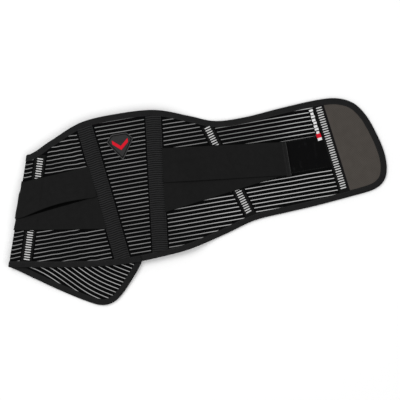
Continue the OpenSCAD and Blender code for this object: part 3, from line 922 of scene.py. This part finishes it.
PEEL_HALF = 7.0
RUN_FROM = PEEL_OFFSET - PEEL_HALF      # outward from the crease, where a strap's bend begins
RUN_MID = PEEL_OFFSET + PEEL_HALF       # and where its free end does
RIGHT_END = Line((TAB_OUTER_U + 0.5, 100), (TAB_OUTER_U + 0.5, -100))
LEFT_END = Line((-TAB_OUTER_U - 0.5, -100), (-TAB_OUTER_U - 0.5, 100))


def strap(side, level, channel_line, crease, across_crease, end, stretch_to):
    """A strap in three pieces: sewn root, the bend it peels at, and the free end."""
    which = f"{side}_{level}"
    sewn = channel_line.moved(CHANNEL_HALF - 1.2)
    begin, middle = crease.moved(RUN_FROM), crease.moved(RUN_MID)
    root = strap_piece(f"{which}_strap_root", which, sewn, begin,
                       [f"{which}_strap_base", f"{which}_strap_bridge"])
    across_crease(root)
    bend = strap_piece(f"{which}_strap_bend", which, begin, middle, [f"{which}_strap"])
    between(bend, crease, RUN_FROM, RUN_MID)
    free = strap_piece(f"{which}_strap_free", which, middle, end)
    between(free, crease, RUN_MID, stretch_to)


for level in ("lower", "upper"):
    strap("right", level, RIGHT_CHANNEL, RIGHT_HINGE, across_right_hinge, RIGHT_END, 69.0)
    strap("left", level, LEFT_CHANNEL, LEFT_FOLD, across_left_fold, LEFT_END, 50.0)

# the strip between the two left straps: painted shade, a near-black sheet standing in for the shadow under the
# upper strap's free edge
share = np.linspace(0, 1, 90)[:, None]
across = np.linspace(0, 1, 8)[None, :]
shade_strip_u = -59 - 117 * share + 0 * across
shade_strip_v = -3.2 - 13.5 * share + across * (1.5 + 13 * np.sin(math.pi * share) ** 0.7)
tuck = np.dstack([shade_strip_u, shade_strip_v])
shade_strip_low = strap_heights("left_lower", tuck, np.full(shade_strip_u.shape, 0.2)) + STRAP_T + 0.08
tuck = grid_solid("left_strap_painted_shade", tuck, shade_strip_low, shade_strip_low + 0.25)
finish_piece(tuck, "tuck", across_left_fold)

# ---- strap ends, tabs and patches
def block(name, corners, low, high, spacing=2.2, soft=0.35):
    """A thin pad over four flat corners, with its upper rim rounded off."""
    p = np.array(corners, float)
    width, depth = norm(p[1] - p[0]), norm(p[3] - p[0])

    def shares(size):
        rim = min(0.25, soft / size)
        inner = np.linspace(rim * 2, 1 - rim * 2, max(4, int(size / spacing)))
        return np.concatenate([[0, rim * 0.35, rim], inner, [1 - rim, 1 - rim * 0.35, 1]])

    a = shares(depth)[:, None, None]
    b = shares(width)[None, :, None]
    uv = (p[0] * (1 - b) + p[1] * b) * (1 - a) + (p[3] * (1 - b) + p[2] * b) * a
    edge = np.minimum(np.minimum(a, 1 - a) * depth, np.minimum(b, 1 - b) * width)[..., 0]
    drop = (1 - smooth(edge / soft + 0.15)) * min(0.6 * (high - low), 0.5)
    return grid_solid(name, uv, np.full(edge.shape, float(low)), high - drop)


def upright(u_from, u_to, y_low, y_high, margin):
    """Four corners between two places along the belt, and a margin inside two heights up it."""
    low, high = y_low + margin, y_high - margin
    return [(u_from, low), (u_to, low), (u_to, high), (u_from, high)]


def tab_set(hand, name, y_low, y_high):
    """What joins a side's two straps: the hook tab under them, and the tape sewn over their end."""
    body = f"{name}_tab"
    pad = upright(hand * TAB_INNER_U, hand * (TAB_OUTER_U - 0.5), y_low, y_high, 1.5)
    if hand < 0:
        pad[0] = (-214.5, pad[0][1])        # clear of the lower strap's bend as it peels
    finish_piece(block(f"{name}_hook_tab_pad", pad, TAB_LOW, TAB_LOW + PATCH_T - 0.1),
                 "hook", body, [f"{name}_hook_tab"])
    inner, outer = hand * TAB_OUTER_U, hand * (STRAP_END_U + 1)
    hem = [(inner, y_low), (outer, y_low + 0.4), (outer, y_high - 0.4), (inner, y_high)]
    finish_piece(block(f"{name}_strap_end_tape", hem, TAB_LOW + 0.05, STACK - 0.05, 2.0, 1.1),
                 "hem", body, [f"{name}_strap_end"])
    # a pale strip along the strap tape's folded end: a painted highlight where the fold's edge catches the light
    pale_band = upright(outer - hand * 0.75, outer - hand * 0.1, y_low, y_high, 0.8)
    finish_piece(block(f"{name}_strap_end_highlight", pale_band, STACK - 0.7, STACK + 0.1, 0.4, 0.2),
                 "edge_highlight", body)
    h = STACK - 0.1
    runs = [[(hand * u, y_low + 1.5, h), (hand * u, y_high - 1.5, h)] for u in (252.0, 255.6)]
    stitches(f"{name}_strap_end_stitches", runs, 2.9, 0.4, body)


tab_set(1, "right", -22.2, 33.7)
tab_set(-1, "left", -26.0, 34.2)

PATCH_LOW, PATCH_HIGH = PANEL_T - 0.1, PANEL_T + PATCH_T - 0.05
seam_edge = END_SEAM.moved(-TAPE_W / 2 - 0.4)
patch_top = seam_edge.meet((206, 34), (345, 34.4))
patch_bottom = seam_edge.meet((206, -20), (345, -19))
landing = block("right_landing_loop", [(206, -20), patch_bottom, patch_top, (206, 34)],
                PATCH_LOW, PATCH_HIGH, 3.0, 0.6)
finish_piece(landing, "loop", "right_wing", ["right_landing_patch"])
runs = [[(208, y, PANEL_T + 0.7), (patch_top[0] - 2, y, PANEL_T + 0.7)] for y in (32.4, -17.6)]
stitches("right_landing_stitches", runs, 3.0, 0.35, "right_wing")

left_landing = block("left_landing_loop", [(-318, -22), (-206, -24), (-206, 34), (-318, 34)],
                     PATCH_LOW, PATCH_HIGH, 3.0, 0.6)
finish_piece(left_landing, "loop", "left_wing", ["left_landing_patch"])
closure = block("closure_hook", [(-377, 12), (-340, 12), (-340, 72), (-369, 72)], -PATCH_T, 0.1, 3.0, 0.5)
finish_piece(closure, "hook", "left_wing", ["closure_hook_patch"])

# ---- woven label
label_line = END_SEAM.moved(-TAPE_W / 2 - 1 - 4.25)
LABEL_TOP = PANEL_T + 1.0       # where its blocks stand


def label_block(name, t_from, t_to, s_low, s_high, low, high, material, nodes=()):
    """A block on the label, from t_from to t_to along it and s_low to s_high across it."""
    corners = [label_line.point(t, s)
               for t, s in ((t_from, s_low), (t_from, s_high), (t_to, s_high), (t_to, s_low))]
    finish_piece(block(name, corners, low, high, 1.2, 0.25), material, "right_wing", nodes)


label_block("woven_label_cloth", 3.5, 57, -4.2, 4.2, PANEL_T - 0.1, PANEL_T + 1.15, "tape",
            ["woven_label"])
for k, t in enumerate(np.arange(5.0, 43.0, 5.2)):
    reach = 3.1 - 0.8 * (k % 3 == 1)
    label_block(f"label_bar_{k + 1}", t, t + 3.4 + 0.7 * (k % 2), -reach, 3.1 - 0.6 * (k % 2), LABEL_TOP,
                LABEL_TOP + 0.4, "label")
label_block("label_red_block", 45.2, 52.2, -3.6, 3.7, LABEL_TOP, LABEL_TOP + 0.45, "red")
label_block("label_pale_block", 52.2, 56.6, -3.2, 3.6, LABEL_TOP, LABEL_TOP + 0.4, "label")

# ---- badge
BADGE = [(-25, 79), (-15.5, 90), (9, 90), (18.5, 79), (-3.2, 47)]
CHEVRON = [(-16, 81), (-3.2, 70), (9.5, 81), (9.5, 74.5), (-3.2, 63.5), (-16, 74.5)]


def shrunk(polygon, d):
    """The polygon with every side moved inwards by d."""
    p = np.array(polygon, float)
    n = len(p)
    area = sum(p[i][0] * p[(i + 1) % n][1] - p[(i + 1) % n][0] * p[i][1] for i in range(n))
    turn = 1 if area > 0 else -1
    out = []
    for i in range(n):
        a, b, c = p[i - 1], p[i], p[(i + 1) % n]
        d1, d2 = (b - a) / norm(b - a), (c - b) / norm(c - b)
        n1, n2 = turn * np.array([-d1[1], d1[0]]), turn * np.array([-d2[1], d2[0]])
        out.append(b + d * (n1 + n2) / (1 + n1 @ n2))
    return np.array(out)


def rounded(polygon, r, steps=5):
    """The polygon with its corners rounded off, r along each side."""
    p = np.array(polygon, float)
    out = []
    for i in range(len(p)):
        a, b = p[i - 1] - p[i], p[(i + 1) % len(p)] - p[i]
        a, b = a / norm(a), b / norm(b)
        for t in np.linspace(0, 1, steps):
            out.append(p[i] + r * (a * (1 - t) ** 2 + b * t ** 2))
    return np.array(out)


def terraces(name, rings, material, nodes=(), hoop=False):
    """A moulding on the back made of rings (outline, height) from its foot up, capped or joined in a hoop."""
    m = len(rings[0][0])
    flat = np.vstack([np.column_stack([ring, np.full(m, float(h))]) for ring, h in rings])
    faces = ring_faces(len(rings), m, hoop)
    if not hoop:
        faces += [list(range(m))[::-1], [(len(rings) - 1) * m + j for j in range(m)]]
    finish_piece(mesh_object(name, flat, faces, False), material, "back", nodes)


BADGE_SEAT = BACK_TOP - 0.15


def badge_rings(*steps):
    """The badge's outline for each step (how far in, how far above its seat)."""
    return [(rounded(shrunk(BADGE, d), 2.4), BADGE_SEAT + h) for d, h in steps]


# the badge's foot; its top is the groove's floor inside the rim, near-black as painted shade
terraces("badge_moulding", badge_rings((0.3, 0), (0.3, 0.75)), "groove", ["badge_plate"])
# the raised rim, paler than the field as painted light
terraces("badge_rim_lit", badge_rings((0, 0.1), (0, 1.3), (0.45, 1.75), (1.25, 1.75), (1.6, 1.4), (1.6, 0.1)),
         "rim", hoop=True)
terraces("badge_field", badge_rings((2.7, 0.7), (2.8, 1.5), (3.3, 1.75)), "rubber")
chevron = rounded(CHEVRON, 0.8, 3)
chevron_rings = [(chevron, BADGE_SEAT + 1.7), (chevron, BADGE_SEAT + 2.25),
                 (rounded(shrunk(CHEVRON, 0.5), 0.6, 3), BADGE_SEAT + 2.55)]
terraces("badge_chevron", chevron_rings, "red", ["badge_inlay"])

# ---- hidden pieces of the back
for node_name, key in (("left_stay", "steel"), ("right_stay", "steel"),
                       ("left_stay_caps", "cap"), ("right_stay_caps", "cap")):
    cad = frame["nodes"][node_name]
    cad.data.materials.clear()
    cad.data.materials.append(M[key])

# ---- lumbar pad
PAD = rounded([(-33, 72), (33, 72), (15, -88), (-15, -88)], 9, 6)
PAD_EDGE = closed_curve(PAD, 3.0)
pad_region = cut_region(PAD, [], 4.0)


def pad_high(uv):
    edge = np.sqrt(((uv[:, None] - PAD_EDGE[None]) ** 2).sum(2).min(1))
    return 0.9 + 2.3 * smooth(edge / 7 + 0.3)


def swell(o, reach, lowest, highest):
    """Blows a padded piece up with a short cloth simulation, no point moving further than reach (metres)."""
    before = np.array([v.co for v in o.data.vertices])
    cloth = o.modifiers.new("swell", "CLOTH")
    cloth.settings.use_pressure = True
    cloth.settings.uniform_pressure_force = 4.0
    cloth.settings.effector_weights.gravity = 0.0
    for k in range(1, 21):
        scene.frame_set(k)
    after = o.evaluated_get(bpy.context.evaluated_depsgraph_get())
    after = np.array([v.co for v in after.data.vertices])
    o.modifiers.remove(cloth)
    scene.frame_set(1)
    move = after - before
    far = norm(move, axis=1)[:, None]
    place = before + move * np.minimum(1, reach / np.maximum(far, 1e-9))
    place[:, 2] = np.clip(place[:, 2], lowest, highest)
    o.data.vertices.foreach_set("co", place.astype(np.float32).ravel())
    o.data.update()


pad = layered("lumbar_foam_pad", pad_region, lambda uv: np.full(len(uv), 0.86), pad_high)
swell(pad, 0.0004, (BACK_BASE + 0.84) / 1000, (BACK_BASE + 4.3) / 1000)
finish_piece(pad, "foam", "back", ["lumbar_pad"])
declare_sheet(back_region)

# ---- floor, light and camera
floor_white = Cloth("floor_white", 0.9, 0.1)
floor_white.colour((*grey(0.87), 1))
floor_mesh = bpy.data.meshes.new("floor")
half = 3.0
corners = [(-half, -half, 0), (half, -half, 0), (half, half, 0), (-half, half, 0)]
floor_mesh.from_pydata(corners, [], [(0, 1, 2, 3)])
floor = add_object("floor", floor_mesh)
floor_mesh.materials.append(floor_white.material)
floor.location.z = -0.0006      # just clear of the pieces that lie on it

world = bpy.data.worlds.new("studio")
scene.world = world
world.use_nodes = True
world.node_tree.nodes["Background"].inputs[0].default_value = (1, 1, 1, 1)
world.node_tree.nodes["Background"].inputs[1].default_value = 0.72


def softbox(name, place, size, power):
    lamp = bpy.data.lights.new(name, "AREA")
    lamp.size, lamp.energy = size, power
    o = add_object(name, lamp)
    o.location = place
    o.rotation_euler = (-Vector(place)).to_track_quat("-Z", "Y").to_euler()


softbox("key", (-0.8, 0.75, 1.5), 0.9, 15)
softbox("fill", (0.9, -0.8, 1.6), 1.4, 9)

# Straight above the belt, turned so that it rises to the right
TURN = math.radians(9.6)
AIM = np.array([107.0, -36.0]) - CENTRE
DISTANCE, WIDTH = 2.2, 0.640     # from the belt's mid height, and what the frame takes in there
MID_HEIGHT = 0.008
SENSOR = 36
camera_data = bpy.data.cameras.new("camera")
camera_data.sensor_width = SENSOR
camera_data.lens = SENSOR * DISTANCE / WIDTH
camera = add_object("camera", camera_data)
camera.location = (AIM[0] / 1000, AIM[1] / 1000, DISTANCE + MID_HEIGHT)
camera.rotation_euler = (0, 0, -TURN)
bpy.context.scene.camera = camera
scene.view_settings.view_transform = "Standard"
